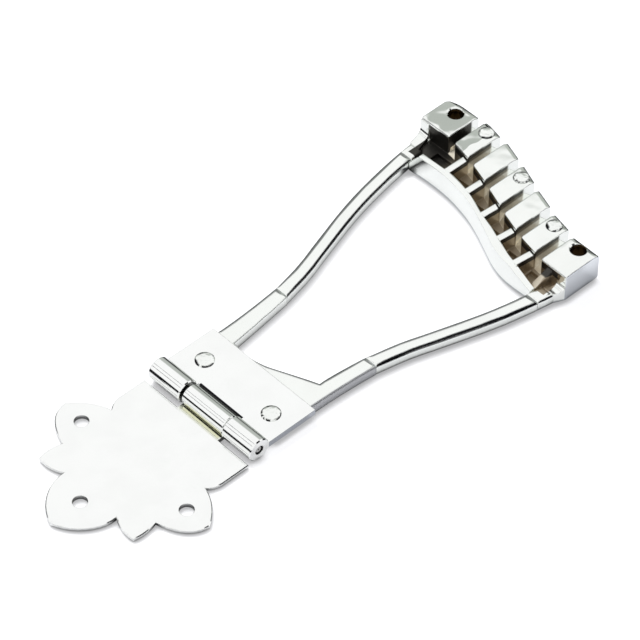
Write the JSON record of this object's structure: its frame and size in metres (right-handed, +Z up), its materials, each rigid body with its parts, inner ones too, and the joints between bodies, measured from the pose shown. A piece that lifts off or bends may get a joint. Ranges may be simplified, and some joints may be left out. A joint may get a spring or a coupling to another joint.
{
  "type": "guitar tailpiece",
  "caption": "Hinged trapeze tailpiece: petal-shaped mounting plate, barrel hinge, harp-shaped cast frame and a slanting bar with slots and pockets for the string ends.",
  "frame": {"origin": "on the flat underside of the mounting plate, on its middle line, 30 mm in front of the hinge", "axes": "+X across the strings to the right, +Y along the strings from the mounting plate to the string bar, +Z up, away from the instrument"},
  "size_m": [0.0759, 0.191, 0.0105],
  "materials": {
    "mounting_plate": "polished, with soft mirror reflections",
    "base_plate": "polished, with soft mirror reflections",
    "hinge_pin": "plain drawn steel",
    "base_rivet_left": "polished, with soft mirror reflections",
    "base_rivet_right": "polished, with soft mirror reflections",
    "frame_root": "polished, with soft mirror reflections",
    "arm_left": "polished, with soft mirror reflections",
    "arm_right": "polished, with soft mirror reflections",
    "string_bar": "polished, with soft mirror reflections",
    "bar_rivet_left": "polished, with soft mirror reflections",
    "bar_rivet_middle": "polished, with soft mirror reflections",
    "bar_rivet_right": "polished, with soft mirror reflections"
  },
  "bodies": {
    "plate": {"mounting_plate": "mounting_plate"},
    "frame": {"base_plate": "base_plate", "hinge_pin": "hinge_pin", "base_rivet_left": "base_rivet_left", "base_rivet_right": "base_rivet_right", "frame_root": "frame_root", "arm_left": "arm_left", "arm_right": "arm_right", "string_bar": "string_bar", "bar_rivet_left": "bar_rivet_left", "bar_rivet_middle": "bar_rivet_middle", "bar_rivet_right": "bar_rivet_right"}
  },
  "joints": [
    {"name": "plate_hinge", "type": "hinge", "parent": "plate", "child": "frame", "pos_m": [0, 0.03, 0.0037], "axis": [1, 0, 0], "range_deg": [-98, 178]}
  ]
}
